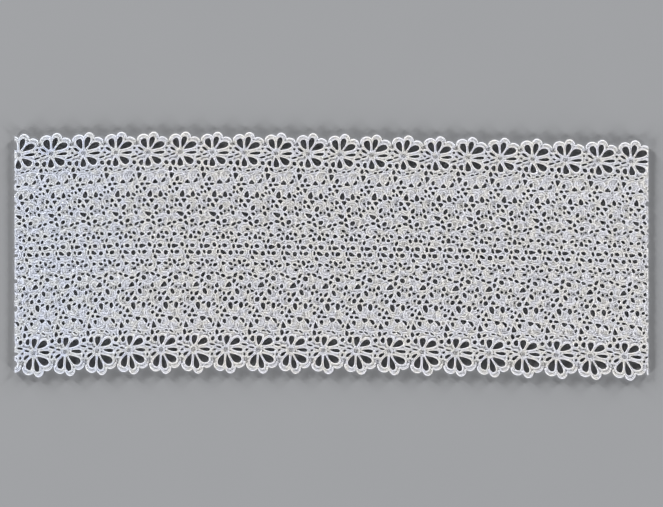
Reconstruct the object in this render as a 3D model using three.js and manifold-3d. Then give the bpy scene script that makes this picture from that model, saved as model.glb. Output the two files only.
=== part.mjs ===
// Elastic lace trim: a cut length of wide two-edged lace, laid flat.
// Millimetres. X runs along the strip, Y across it and Z up, with the underside on Z = 0.
import * as THREE from "three";
import { mergeGeometries, mergeVertices } from "three/addons/utils/BufferGeometryUtils.js";
import Module from "manifold-3d";

// Sizes of the strip
const LENGTH = 444.7; // between the two cut ends
const WIDTH = 170; // from the upper edge's tips to the lower edge's tips
const THICKNESS = 1.2;
const PITCH = 22.7; // one flower repeat along the strip
const REPEATS = 21; // enough repeats to pass both cut ends
const FIRST_REPEAT = -1;
const MIDDLE_REPEAT = 9.65; // the repeat at the middle of the strip, counted from the first whole scallop

// How the two tip lines lie. Each is a cubic in t, which is -1 at the first scallop and 1 near the last:
// a middle, a slope, a bow and a slow wave, along X and along Y.
const UPPER_LINE = {
  x: 1.6, slopeX: 215.3, bowX: 0.6, waveX: 2.7,
  y: 85.8, slopeY: -4.75, bowY: -2.5, waveY: 2.5,
};
const LOWER_LINE = {
  x: 1.5, slopeX: 222.95, bowX: 4.9, waveX: 0,
  y: -83.0, slopeY: -3.0, bowY: -3.8, waveY: 1.9,
};

// How far the middle of the strip has slid from a straight lay, in the same t: a shift, a slope and a sway
const DRIFT = {
  x: 0.33, slopeX: 0.3, swayX: -0.4,
  y: 0.15, slopeY: -0.7, swayY: -0.35,
  sways: 0.9,
};

// The lower half is charted from its own edge. It is set on by about half a repeat and a little wider.
const FLOWER_INWARD = 14.5; // the flower's centre, inward from the tip line
const TIP_ALONG = 3.8; // the scallop's tip, along from the flower's centre
const LOWER_BORDER_STRETCH = 1.17;
const LOWER_FIELD_STRETCH = 1.037;
const LOWER_BORDER_SHIFT = 0.49; // repeats
const LOWER_FIELD_SHIFT = 0.54;
const SHIFT_STARTS = 13; // where the border's shift starts to turn into the field's, inward from the tip line
const SHIFT_ENDS = 30;

// The three lobes of one scallop. A lobe is half an ellipse that starts at the notch on its left.
const LOBES = [
  { notch: -8.35, along: -3.3, inward: 6.4, halfWidth: 5.2, halfHeight: 5.2 },
  { notch: 0.05, along: 3.8, inward: 4.2, halfWidth: 4.1, halfHeight: 4.5 },
  { notch: 7.83, along: 9.6, inward: 8.6, halfWidth: 5.5, halfHeight: 5.5 },
];
const LOBE_STOPS = [0, 0.2, 0.5, 0.8]; // where a lobe gets a corner, from its notch to the next one

// The large gaps of one repeat of each half, each a drop whose blunt end points along turn, in degrees.
// point 0 is an oval and 1 a drop with straight flanks; flat squares the blunt end.
const UPPER_GAPS = [
  {
    name: "left petal", along: -2.5, inward: 8.1, length: 7.4, width: 4.6,
    turn: -110, point: 0.8, flat: 0.4, sides: 8,
  },
  {
    name: "tip petal", along: 2.4, inward: 7.3, length: 8.3, width: 3.8,
    turn: -72, point: 1.0, flat: 0, sides: 8,
  },
  {
    name: "right petal", along: 7.0, inward: 9.8, length: 9.5, width: 4.5,
    turn: -27, point: 1.0, flat: 0, sides: 8,
  },
  {
    name: "side slit", along: 7.8, inward: 14.5, length: 7.2, width: 2.1,
    turn: -5, point: 1.0, flat: 0, sides: 6,
  },
  {
    name: "inner petal", along: 5.8, inward: 19.7, length: 7.9, width: 4.6,
    turn: 34, point: 0.7, flat: 0.5, sides: 8,
  },
  {
    name: "foot petal", along: 0.0, inward: 21.2, length: 6.5, width: 4.2,
    turn: 86, point: 0.9, flat: 0.4, sides: 8,
  },
  {
    name: "leaf eyelet", along: 1.8, inward: 43.9, length: 5.2, width: 3.6,
    turn: 100, point: 0.6, flat: 0.7, sides: 6,
  },
];
const LOWER_GAPS = [
  {
    name: "left petal", along: -2.5, inward: 8.3, length: 7.2, width: 4.5,
    turn: -112, point: 0.8, flat: 0.7, sides: 8,
  },
  {
    name: "tip petal", along: 2.3, inward: 7.5, length: 8.1, width: 3.8,
    turn: -73, point: 1.0, flat: 0.3, sides: 8,
  },
  {
    name: "right petal", along: 7.0, inward: 10.0, length: 9.2, width: 4.2,
    turn: -26, point: 0.9, flat: 0, sides: 8,
  },
  {
    name: "side slit", along: 8.0, inward: 14.3, length: 7.2, width: 2.1,
    turn: -6, point: 1.0, flat: 0, sides: 6,
  },
  {
    name: "inner petal", along: 5.9, inward: 19.3, length: 7.6, width: 4.4,
    turn: 28, point: 0.6, flat: 0.6, sides: 8,
  },
  {
    name: "foot petal", along: 0.1, inward: 20.8, length: 6.3, width: 4.1,
    turn: 88, point: 0.7, flat: 0.4, sides: 8,
  },
  {
    name: "leaf eyelet", along: 1.8, inward: 43.8, length: 5.2, width: 3.3,
    turn: 106, point: 0.2, flat: 0.5, sides: 6,
  },
];
const CUT_CLEAR = 2; // cutters run this far past both faces

const wasm = await Module();
wasm.setup();

/** Distance of a charted point from the upper tip line, straight across the strip. */
function acrossFrom(inward, lower) {
  if (!lower) return inward;
  const border = Math.min(inward, FLOWER_INWARD) * LOWER_BORDER_STRETCH;
  const field = Math.max(inward - FLOWER_INWARD, 0) * LOWER_FIELD_STRETCH;
  return WIDTH - border - field;
}

/** How many repeats the lower half is set on from the upper half. */
function setOn(inward, lower) {
  if (!lower) return 0;
  const share = THREE.MathUtils.clamp((inward - SHIFT_STARTS) / (SHIFT_ENDS - SHIFT_STARTS), 0, 1);
  return THREE.MathUtils.lerp(LOWER_BORDER_SHIFT, LOWER_FIELD_SHIFT, share);
}

/** A point of a tip line. */
function onLine(line, t) {
  const x = line.x + line.slopeX * t + line.bowX * t ** 2 + line.waveX * t ** 3;
  const y = line.y + line.slopeY * t + line.bowY * t ** 2 + line.waveY * t ** 3;
  return new THREE.Vector2(x, y);
}

/** How far the middle of the strip has drifted. */
function drift(t) {
  const turn = 2 * Math.PI * DRIFT.sways * t;
  const x = DRIFT.x + DRIFT.slopeX * t + DRIFT.swayX * Math.sin(turn);
  const y = DRIFT.y + DRIFT.slopeY * t + DRIFT.swayY * Math.cos(turn);
  return new THREE.Vector2(x, y);
}

/** Where a point of the chart lies: across between the two tip lines, with the middle drifted. */
function lay(repeat, lower, along, inward) {
  const column = repeat + setOn(inward, lower) + (along - TIP_ALONG) / PITCH;
  const t = (column - MIDDLE_REPEAT) / MIDDLE_REPEAT;
  const share = acrossFrom(inward, lower) / WIDTH;
  const straight = onLine(UPPER_LINE, t).lerp(onLine(LOWER_LINE, t), share);
  return straight.addScaledVector(drift(t), 4 * share * (1 - share));
}

/** The scallop's edge, inward from the tip line: the outermost of all lobes that reach this place. */
function edgeInward(along) {
  const reach = [];
  for (const lobe of LOBES) {
    for (const shift of [-PITCH, 0, PITCH]) {
      const share = (along - lobe.along - shift) / lobe.halfWidth;
      if (Math.abs(share) < 1) reach.push(lobe.inward - lobe.halfHeight * Math.sqrt(1 - share * share));
    }
  }
  return Math.min(...reach);
}

/** One edge of the strip, scallop by scallop, from left to right. */
function scallopedEdge(lower) {
  const points = [];
  for (let n = 0; n < REPEATS; n += 1) {
    LOBES.forEach((lobe, i) => {
      const next = i + 1 < LOBES.length ? LOBES[i + 1].notch : LOBES[0].notch + PITCH;
      for (const stop of LOBE_STOPS) {
        const along = lobe.notch + stop * (next - lobe.notch);
        points.push(lay(FIRST_REPEAT + n, lower, along, edgeInward(along)));
      }
    });
  }
  return points;
}

/** The corners of one gap, as places on the chart. */
function gapCorners(gap) {
  const p = gap.point;
  const widest = 2 * Math.sqrt((1 + p) ** (1 + p) / (2 + p) ** (2 + p));
  const turn = THREE.MathUtils.degToRad(gap.turn);
  const corners = [];
  for (let k = 0; k < gap.sides; k += 1) {
    const phi = (2 * Math.PI * k) / gap.sides;
    const u = (gap.length / 2) * (1 - 2 * Math.sin(phi / 2) ** (2 + gap.flat));
    const v = ((gap.width / 2) * Math.sin(phi) * Math.abs(Math.cos(phi / 2)) ** p) / widest;
    corners.push({
      along: gap.along + u * Math.cos(turn) - v * Math.sin(turn),
      inward: gap.inward + u * Math.sin(turn) + v * Math.cos(turn),
    });
  }
  return corners;
}

/** A closed solid from a geometry, for joining and cutting. */
function solidOf(geometry) {
  geometry.deleteAttribute("normal");
  geometry.deleteAttribute("uv");
  const merged = mergeVertices(geometry);
  const vertProperties = new Float32Array(merged.attributes.position.array);
  const triVerts = new Uint32Array(merged.index.array);
  return new wasm.Manifold(new wasm.Mesh({ numProp: 3, vertProperties, triVerts }));
}

/** An upright prism on an outline, from low to high. */
function prism(points, low, high) {
  const shape = new THREE.Shape(points);
  const geometry = new THREE.ExtrudeGeometry(shape, { depth: high - low, bevelEnabled: false });
  return geometry.translate(0, 0, low);
}

/** All the gap cutters of the strip as one geometry. */
function gapCutters() {
  const cutters = [];
  for (const lower of [false, true]) {
    for (let n = 0; n < REPEATS; n += 1) {
      for (const gap of lower ? LOWER_GAPS : UPPER_GAPS) {
        const outline = gapCorners(gap).map((c) => lay(FIRST_REPEAT + n, lower, c.along, c.inward));
        cutters.push(prism(outline, -CUT_CLEAR, THICKNESS + CUT_CLEAR));
      }
    }
  }
  return mergeGeometries(cutters);
}

/** The strip between its cut ends, with its gaps, standing on Z = 0 with its box centred on the origin. */
function laceGeometry() {
  const outline = [...scallopedEdge(false), ...scallopedEdge(true).reverse()];
  const ends = new THREE.BoxGeometry(LENGTH, 2 * WIDTH, THICKNESS + 2 * CUT_CLEAR);
  const whole = solidOf(prism(outline, 0, THICKNESS));
  const mesh = whole.subtract(solidOf(gapCutters())).intersect(solidOf(ends)).getMesh();
  const geometry = new THREE.BufferGeometry();
  geometry.setAttribute("position", new THREE.BufferAttribute(new Float32Array(mesh.vertProperties), 3));
  geometry.setIndex(new THREE.BufferAttribute(new Uint32Array(mesh.triVerts), 1));
  geometry.computeBoundingBox();
  const middle = geometry.boundingBox.getCenter(new THREE.Vector3());
  return geometry.translate(-middle.x, -middle.y, -geometry.boundingBox.min.z);
}

const yarn = new THREE.MeshStandardMaterial({ color: "#d9dade", roughness: 0.85, metalness: 0 });
const lace = new THREE.Mesh(laceGeometry(), yarn);
lace.name = "lace_trim";

const trim = new THREE.Group();
trim.add(lace);

export default trim;
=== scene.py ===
"""Elastic lace trim, laid flat: a pierced ground with corded eyelets, leaf ribs, stems and scalloped edges.

The chart of one repeat is in millimetres. "Along" runs with the strip from the middle of a flower, and
"inward" runs from the line of the scallops' tips towards the middle of the strip. Meshes are in metres.
"""
import logging
import math
from abc import ABC, abstractmethod
from dataclasses import dataclass, field, replace
from enum import Enum
from typing import Any

import bmesh
import bpy
import numpy as np
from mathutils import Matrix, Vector
from mathutils.geometry import delaunay_2d_cdt


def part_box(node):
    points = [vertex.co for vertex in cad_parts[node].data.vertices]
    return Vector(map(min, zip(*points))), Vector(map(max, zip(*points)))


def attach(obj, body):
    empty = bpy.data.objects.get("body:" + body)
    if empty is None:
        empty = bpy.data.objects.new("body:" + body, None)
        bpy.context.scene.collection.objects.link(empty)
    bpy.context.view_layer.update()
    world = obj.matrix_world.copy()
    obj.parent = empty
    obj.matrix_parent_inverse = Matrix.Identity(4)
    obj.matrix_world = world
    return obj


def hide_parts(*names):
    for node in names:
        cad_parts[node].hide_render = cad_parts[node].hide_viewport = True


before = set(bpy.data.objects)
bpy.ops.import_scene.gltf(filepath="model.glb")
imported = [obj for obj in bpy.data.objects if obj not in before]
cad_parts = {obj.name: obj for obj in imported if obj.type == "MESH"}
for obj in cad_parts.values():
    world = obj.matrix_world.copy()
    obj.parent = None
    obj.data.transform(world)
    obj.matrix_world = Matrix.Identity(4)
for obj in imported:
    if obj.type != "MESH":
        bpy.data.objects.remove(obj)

LOG = logging.getLogger("lace_trim")
MM = 0.001
BODY = "root"
CAD_NODE = "lace_trim"
SEED = 20
OUTLINE_STOPS = 120
THREAD_MAP = "Thread"
BAKE_MAP = "OFBake"
# Blender's number for filling only what lies inside the outlines
FILL_INSIDE = 1
# A point this near to a cut lies on it, in metres
CUT_SNAP = 1e-7
# A face whose normal rises more than this faces up
FACING_UP = 0.5

Array = np.ndarray


class Half(Enum):
    """The two halves of the strip, each charted from its own edge."""

    UPPER = "upper"
    LOWER = "lower"


@dataclass(frozen=True)
class TipLine:
    """Where the scallops' tips lie along one edge: a cubic in t, which is -1 at the first scallop."""

    x: float
    slope_x: float
    bow_x: float
    wave_x: float
    y: float
    slope_y: float
    bow_y: float
    wave_y: float

    def at(self, t: Array) -> Array:
        """Points of the line.

        Args:
            t: Places along the line, from -1 to 1 over the whole scallops.

        Returns:
            Points in millimetres, with x and y on the last axis.
        """
        x = self.x + self.slope_x * t + self.bow_x * t**2 + self.wave_x * t**3
        y = self.y + self.slope_y * t + self.bow_y * t**2 + self.wave_y * t**3
        return np.stack([x, y], axis=-1)


@dataclass(frozen=True)
class Drift:
    """How far the middle of the strip has slid from a straight lay, in the same t as the lines of tips."""

    x: float
    slope_x: float
    sway_x: float
    y: float
    slope_y: float
    sway_y: float
    sways: float = 0.9

    def at(self, t: Array) -> Array:
        """How far places in the middle of the strip have slid.

        Args:
            t: Places along the strip, as for the lines of tips.

        Returns:
            Distances in millimetres, with x and y on the last axis.
        """
        turn = 2.0 * np.pi * self.sways * t
        x = self.x + self.slope_x * t + self.sway_x * np.sin(turn)
        y = self.y + self.slope_y * t + self.sway_y * np.cos(turn)
        return np.stack([x, y], axis=-1)


@dataclass(frozen=True)
class StripLay:
    """How the chart lies on the surface: across between the two lines of tips, with the middle drifted.

    Sizes are in millimetres, and the lower half's two shifts are in repeats. A cord that reaches no further
    than sliver inside a cut end is left out.
    """

    length: float = 444.7
    width: float = 170.0
    pitch: float = 22.7
    repeats: int = 21
    first_repeat: int = -1
    middle_repeat: float = 9.65
    tip_along: float = 3.8
    flower_inward: float = 14.5
    lower_border_stretch: float = 1.17
    lower_field_stretch: float = 1.037
    lower_border_shift: float = 0.49
    lower_field_shift: float = 0.54
    shift_starts: float = 13.0
    shift_ends: float = 30.0
    upper_line: TipLine = TipLine(1.6, 215.3, 0.6, 2.7, 85.8, -4.75, -2.5, 2.5)
    lower_line: TipLine = TipLine(1.5, 222.95, 4.9, 0.0, -83.0, -3.0, -3.8, 1.9)
    drift: Drift = Drift(0.33, 0.3, -0.4, 0.15, -0.7, -0.35)
    centre_y: float = 0.0
    sliver: float = 0.5

    @property
    def cut(self) -> float:
        """Distance of both cut ends from the strip's middle, in metres."""
        return self.length / 2.0 * MM

    @property
    def neighbours(self) -> tuple[float, float, float]:
        """How far along the repeat before, the repeat itself and the repeat after lie."""
        return -self.pitch, 0.0, self.pitch

    def numbers(self) -> Array:
        """The number of every repeat, from the left."""
        return self.first_repeat + np.arange(self.repeats)

    def across(self, half: Half, inward: Array) -> Array:
        """How far charted places lie from the upper line of tips.

        Args:
            half: The half that the places belong to.
            inward: Places inward from that half's own line of tips.

        Returns:
            Distances across the strip.
        """
        if half is Half.UPPER:
            return inward
        border = np.minimum(inward, self.flower_inward) * self.lower_border_stretch
        inner = np.maximum(inward - self.flower_inward, 0.0) * self.lower_field_stretch
        return self.width - border - inner

    def set_on(self, half: Half, inward: Array) -> Array:
        """How far the lower half is set on from the upper half.

        Args:
            half: The half that the places belong to.
            inward: Places inward from that half's own line of tips.

        Returns:
            Distances along the strip, in repeats.
        """
        if half is Half.UPPER:
            return np.zeros_like(inward)
        share = np.clip((inward - self.shift_starts) / (self.shift_ends - self.shift_starts), 0.0, 1.0)
        return self.lower_border_shift + (self.lower_field_shift - self.lower_border_shift) * share

    def place(self, half: Half, repeat: Array, along: Array, inward: Array) -> Array:
        """Lays charted places on the surface.

        Args:
            half: The half that the places belong to.
            repeat: Number of the repeat, which broadcasts with the places.
            along: Places along the strip, from the flower's middle.
            inward: Places inward from the line of tips.

        Returns:
            Points in metres, with x and y on the last axis.
        """
        column = repeat + self.set_on(half, inward) + (along - self.tip_along) / self.pitch
        t = column / self.middle_repeat - 1.0
        share = (self.across(half, inward) / self.width)[..., None]
        points = self.upper_line.at(t) * (1.0 - share) + self.lower_line.at(t) * share
        points += 4.0 * share * (1.0 - share) * self.drift.at(t)
        points[..., 1] -= self.centre_y
        return points * MM

    def in_every_repeat(self, half: Half, line: Array) -> Array:
        """Lays one charted line in every repeat.

        Args:
            half: The half that the line belongs to.
            line: Points of the line, with along and inward on the last axis.

        Returns:
            Points in metres: repeats, points, x and y.
        """
        return self.place(half, self.numbers()[:, None], line[:, 0], line[:, 1])

    def showing(self, paths: Array) -> Array:
        """Leaves out the cords that lie wholly past a cut end.

        Args:
            paths: Middle lines in metres: cords, points, x and y.

        Returns:
            The cords that show.
        """
        near = np.abs(paths[..., 0]).min(axis=1)
        return paths[near < (self.length / 2.0 - self.sliver) * MM]


@dataclass(frozen=True)
class Eyelet:
    """One gap of the chart: an oval, or a drop whose blunt end points along turn.

    Point is 0 for an oval and 1 for a drop with straight flanks. Bend bows the drop sideways, and flat
    squares its blunt end, so that a drop becomes a triangle.
    """

    along: float
    inward: float
    length: float
    width: float
    turn: float
    point: float = 0.0
    bend: float = 0.0
    flat: float = 0.0

    def outline(self, grow: float) -> tuple[Array, Array]:
        """The gap's outline on the chart.

        Args:
            grow: How far outside the gap's edge the outline runs.

        Returns:
            Points about the gap's middle, with along and inward on the last axis, and the outward normals.
        """
        phi = np.linspace(0.0, 2.0 * np.pi, OUTLINE_STOPS, endpoint=False)
        p = self.point
        widest = 2.0 * math.sqrt((1.0 + p) ** (1.0 + p) / (2.0 + p) ** (2.0 + p))
        u = self.length / 2.0 * (1.0 - 2.0 * np.abs(np.sin(phi / 2.0)) ** (2.0 + self.flat))
        v = self.width / 2.0 * np.sin(phi) * np.abs(np.cos(phi / 2.0)) ** p / widest
        v = v + self.bend * np.sin(phi) ** 2
        fine = np.stack([u, v], axis=-1)
        tangent = np.roll(fine, -1, axis=0) - np.roll(fine, 1, axis=0)
        normal = np.stack([tangent[:, 1], -tangent[:, 0]], axis=-1)
        normal = normal / np.linalg.norm(normal, axis=1, keepdims=True)
        turn = math.radians(self.turn)
        turned = np.array([[math.cos(turn), math.sin(turn)], [-math.sin(turn), math.cos(turn)]])
        return (fine + grow * normal) @ turned, normal @ turned

    def ring(self, grow: float, step: float, least: int) -> Array:
        """The gap's outline with its points evenly spread, as for even_ring."""
        return even_ring(self.outline(grow)[0], step, least)


def even_ring(points: Array, step: float, least: int) -> Array:
    """Spreads points evenly round a closed line.

    Args:
        points: The closed line, without a repeated end point. Columns after the first two are carried along.
        step: Wanted distance between points.
        least: Fewest points.

    Returns:
        The new points.
    """
    closed = np.vstack([points, points[:1]])
    run = np.concatenate([[0.0], np.cumsum(np.linalg.norm(np.diff(closed[:, :2], axis=0), axis=1))])
    count = max(least, round(run[-1] / step))
    stops = np.linspace(0.0, run[-1], count, endpoint=False)
    return np.stack([np.interp(stops, run, column) for column in closed.T], axis=-1)


@dataclass(frozen=True)
class Lobe:
    """One lobe of a scallop: half an ellipse between two notches."""

    notch: float
    next_notch: float
    along: float
    inward: float
    half_width: float
    half_height: float

    def inward_at(self, along: Array, inset: float) -> Array:
        """The lobe's edge.

        Args:
            along: Places along the strip.
            inset: How far inside the edge the line runs.

        Returns:
            Places inward from the line of tips, or infinity where the lobe doesn't reach.
        """
        share = (along - self.along) / (self.half_width - inset)
        inside = np.sqrt(np.clip(1.0 - share**2, 0.0, None))
        return np.where(np.abs(share) < 1.0, self.inward - (self.half_height - inset) * inside, np.inf)


# Columns of the eyelets: along, inward, length, width, turn, point, bend, flat
FLOWER_EYELETS = {
    Half.UPPER: (
        Eyelet(-2.4, 8.1, 7.2, 4.2, -110, 0.8, -0.4, 0.3),
        Eyelet(2.4, 7.3, 8.2, 3.4, -72, 1.0, -0.15),
        Eyelet(6.9, 10.1, 9.2, 4.1, -27, 1.0, -0.5),
        Eyelet(7.7, 14.8, 7.0, 1.8, -5, 1.0),
        Eyelet(5.8, 19.6, 7.6, 4.2, 34, 0.7, 0.3, 0.5),
        Eyelet(0.0, 21.2, 6.1, 3.8, 86, 0.9, 0.0, 0.4),
        Eyelet(-4.9, 21.8, 2.7, 3.7, 5, 0.45, 0.0, 0.6),
        Eyelet(-5.1, 12.1, 4.3, 1.4, 214, 0.6),
        Eyelet(-9.6, 21.7, 2.9, 2.4, 40),
        Eyelet(-9.7, 17.6, 3.8, 1.0, -16),
        Eyelet(-5.2, 15.9, 3.1, 0.7, -20),
        Eyelet(-7.8, 14.4, 1.6, 0.8, 20),
        Eyelet(-9.7, 11.5, 1.3, 1.1, 0),
    ),
    Half.LOWER: (
        Eyelet(-2.4, 8.3, 6.9, 4.1, -112, 0.8, -0.3, 0.7),
        Eyelet(2.3, 7.3, 7.8, 3.4, -73, 1.0, -0.25, 0.3),
        Eyelet(6.9, 9.9, 8.9, 3.8, -26, 0.9, -0.55),
        Eyelet(8.0, 14.6, 6.8, 1.7, -6, 1.0),
        Eyelet(5.9, 19.3, 7.3, 4.0, 28, 0.6, 0.3, 0.6),
        Eyelet(0.1, 20.8, 6.0, 3.7, 88, 0.7, 0.0, 0.4),
        Eyelet(-4.8, 21.8, 2.7, 3.7, 5, 0.5, 0.0, 0.6),
        Eyelet(-4.9, 12.1, 4.0, 1.3, 211, 0.8),
        Eyelet(-9.7, 21.7, 2.5, 2.3, 45),
        Eyelet(-9.7, 17.7, 3.7, 0.8, -14),
        Eyelet(-4.8, 15.9, 2.9, 0.6, -15),
        Eyelet(-7.9, 14.4, 1.5, 0.7, 20),
        Eyelet(-9.4, 11.7, 1.2, 0.9, 60),
    ),
}
FIELD_EYELETS = {
    Half.UPPER: (
        Eyelet(-6.9, 26.2, 3.4, 2.4, 100, 0.6),
        Eyelet(-3.2, 26.4, 3.2, 1.4, 225, 0.7, 0.2),
        Eyelet(2.8, 27.1, 2.3, 1.0, -10),
        Eyelet(6.5, 26.3, 2.8, 0.8, -24),
        Eyelet(-11.7, 24.6, 2.3, 1.0, -38),
        Eyelet(-6.1, 31.2, 4.3, 3.0, -80, 1.0, 0.0, 1.0),
        Eyelet(-9.8, 30.9, 2.2, 1.2, 70),
        Eyelet(-1.9, 33.3, 3.2, 2.2, 112, 0.4),
        Eyelet(5.3, 35.2, 2.9, 3.6, 90, 1.0, 0.0, 1.0),
        Eyelet(10.8, 34.3, 4.1, 1.9, -46, 0.5, 0.6),
        Eyelet(-3.9, 37.2, 2.3, 2.1, 0),
        Eyelet(0.1, 36.9, 3.1, 1.5, 180, 0.5),
        Eyelet(-7.2, 39.2, 2.5, 1.9, 60, 0.4),
        Eyelet(-2.1, 40.8, 2.9, 2.6, -90, 1.0, 0.0, 1.0),
        Eyelet(-4.9, 42.5, 2.1, 1.2, 65),
        Eyelet(-7.4, 42.8, 1.6, 1.3, 20),
        Eyelet(-9.6, 44.6, 2.9, 1.6, 38),
        Eyelet(1.8, 43.9, 4.8, 3.2, 100, 0.6, 0.0, 0.7),
        Eyelet(9.2, 44.2, 4.2, 2.9, 88, 0.6, 0.0, 0.3),
        Eyelet(5.8, 46.1, 2.9, 1.5, 22),
        Eyelet(-2.2, 48.3, 2.9, 2.7, 62, 0.8, 0.0, 0.6),
        Eyelet(3.0, 48.9, 2.8, 3.1, -88, 1.0, 0.0, 1.0),
        Eyelet(0.6, 52.0, 3.3, 1.9, 230, 0.5),
        Eyelet(-2.8, 52.1, 2.0, 1.4, 80),
        Eyelet(6.3, 53.4, 4.0, 2.3, 122, 0.3),
        Eyelet(-8.9, 53.0, 2.7, 1.7, 70, 0.4),
        Eyelet(-7.8, 57.4, 3.0, 2.1, 245, 0.6),
        Eyelet(0.4, 57.8, 4.9, 2.8, 25, 0.9, 0.2, 0.7),
        Eyelet(6.5, 57.8, 2.7, 1.7, 38),
        Eyelet(3.9, 60.5, 2.6, 2.3, 82, 0.7, 0.0, 0.6),
        Eyelet(0.8, 62.8, 3.1, 2.0, 8),
        Eyelet(9.0, 63.0, 3.4, 2.6, 140, 0.2),
        Eyelet(5.0, 64.8, 3.8, 1.9, 230, 0.8),
        Eyelet(-3.5, 64.1, 2.7, 1.8, -15),
        Eyelet(-7.4, 65.2, 3.5, 1.5, -38, 0.2),
        Eyelet(-8.9, 71.7, 3.0, 1.9, 42),
        Eyelet(-3.1, 72.5, 3.0, 2.4, 185, 0.9, 0.0, 0.8),
        Eyelet(1.6, 72.4, 2.7, 1.7, -33),
        Eyelet(8.1, 73.8, 3.5, 2.5, 93, 0.5, 0.0, 0.7),
        Eyelet(4.2, 74.9, 2.4, 1.9, 70),
        Eyelet(-11.3, 74.7, 2.2, 1.9, 10),
        Eyelet(-5.5, 76.6, 2.9, 1.7, 112, 0.3),
        Eyelet(-3.0, 80.8, 4.3, 2.6, 175, 0.7, 0.0, 0.4),
        Eyelet(2.0, 79.9, 3.2, 2.4, 60),
        Eyelet(-7.1, 80.8, 3.0, 1.8, 80),
        Eyelet(5.6, 81.0, 2.5, 1.6, 105, 0.3),
        Eyelet(9.2, 80.4, 3.4, 2.6, 15),
    ),
    Half.LOWER: (
        Eyelet(-7.2, 26.2, 3.5, 2.3, -74, 0.5),
        Eyelet(-3.4, 26.5, 2.8, 1.5, 210, 0.6),
        Eyelet(2.6, 27.4, 2.3, 0.6, -10),
        Eyelet(6.3, 26.7, 2.9, 0.5, -32),
        Eyelet(-11.6, 24.8, 1.6, 0.5, -40),
        Eyelet(-6.4, 31.4, 4.3, 2.9, -78, 1.2, -0.2, 1.0),
        Eyelet(-10.1, 31.1, 2.3, 1.1, 62),
        Eyelet(-2.3, 33.4, 3.0, 2.4, 105, 0.5, 0.0, 0.5),
        Eyelet(5.0, 35.2, 2.9, 3.7, 80, 0.8, 0.0, 0.6),
        Eyelet(9.9, 34.1, 4.3, 1.8, -46, 0.5, 0.6),
        Eyelet(-4.2, 37.4, 2.2, 2.0, 0),
        Eyelet(-0.3, 37.1, 3.2, 1.5, 172, 0.5),
        Eyelet(-7.4, 39.5, 2.4, 2.0, 35, 0.2),
        Eyelet(-2.3, 40.9, 2.8, 2.5, -92, 1.1, 0.0, 1.0),
        Eyelet(-5.0, 42.6, 2.1, 1.1, 62),
        Eyelet(-7.6, 43.4, 1.6, 1.2, 40),
        Eyelet(-9.8, 44.8, 2.8, 1.5, 40),
        Eyelet(1.8, 43.8, 4.8, 2.9, 106, 0.2, 0.0, 0.5),
        Eyelet(9.0, 44.3, 4.1, 2.7, 90, 0.2),
        Eyelet(5.4, 46.0, 2.8, 1.4, 28),
        Eyelet(-2.3, 48.3, 3.2, 2.6, 50, 0.1),
        Eyelet(2.8, 49.0, 2.6, 3.0, -88, 0.9, 0.0, 0.7),
        Eyelet(0.7, 52.3, 3.8, 1.9, 227, 0.6),
        Eyelet(-3.1, 52.3, 1.9, 1.5, 80),
        Eyelet(6.2, 53.5, 4.0, 2.4, 120, 0.2),
        Eyelet(-9.0, 53.2, 2.4, 1.8, 80, 0.3),
        Eyelet(-7.9, 57.8, 2.9, 2.3, 255, 0.9, 0.0, 0.8),
        Eyelet(-0.2, 57.7, 4.6, 3.2, 31, 1.0, 0.0, 1.0),
        Eyelet(6.2, 58.2, 2.5, 1.2, 45),
        Eyelet(3.8, 60.5, 2.7, 2.1, 68, 0.7, 0.0, 0.5),
        Eyelet(0.4, 62.8, 3.3, 1.6, 8),
        Eyelet(8.8, 62.8, 3.4, 2.7, 145, 0.1),
        Eyelet(4.9, 64.8, 3.7, 1.8, 230, 0.6),
        Eyelet(-3.8, 64.1, 2.7, 1.7, -22),
        Eyelet(-7.7, 65.4, 3.2, 1.5, -33, 0.1),
        Eyelet(-9.5, 71.5, 3.1, 1.8, 26),
        Eyelet(-3.4, 72.5, 2.9, 2.2, 182, 0.9, 0.0, 0.8),
        Eyelet(1.2, 72.4, 2.8, 1.6, -25, 0.3),
        Eyelet(7.4, 73.6, 3.4, 2.0, -58, 0.4, 0.0, 0.2),
        Eyelet(3.8, 74.6, 1.9, 1.6, -60, 0.3),
        Eyelet(-11.8, 74.4, 2.2, 1.3, 25),
        Eyelet(-6.1, 76.7, 2.8, 1.9, 130, 0.2),
        Eyelet(-3.8, 80.1, 4.3, 2.2, 155, 0.7, 0.25),
        Eyelet(1.2, 79.6, 3.0, 2.9, 80),
        Eyelet(-7.7, 80.3, 2.5, 1.2, 87),
        Eyelet(5.4, 80.3, 2.5, 1.5, 120, 0.2),
        Eyelet(8.9, 80.0, 3.3, 2.4, 20),
    ),
}
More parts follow.
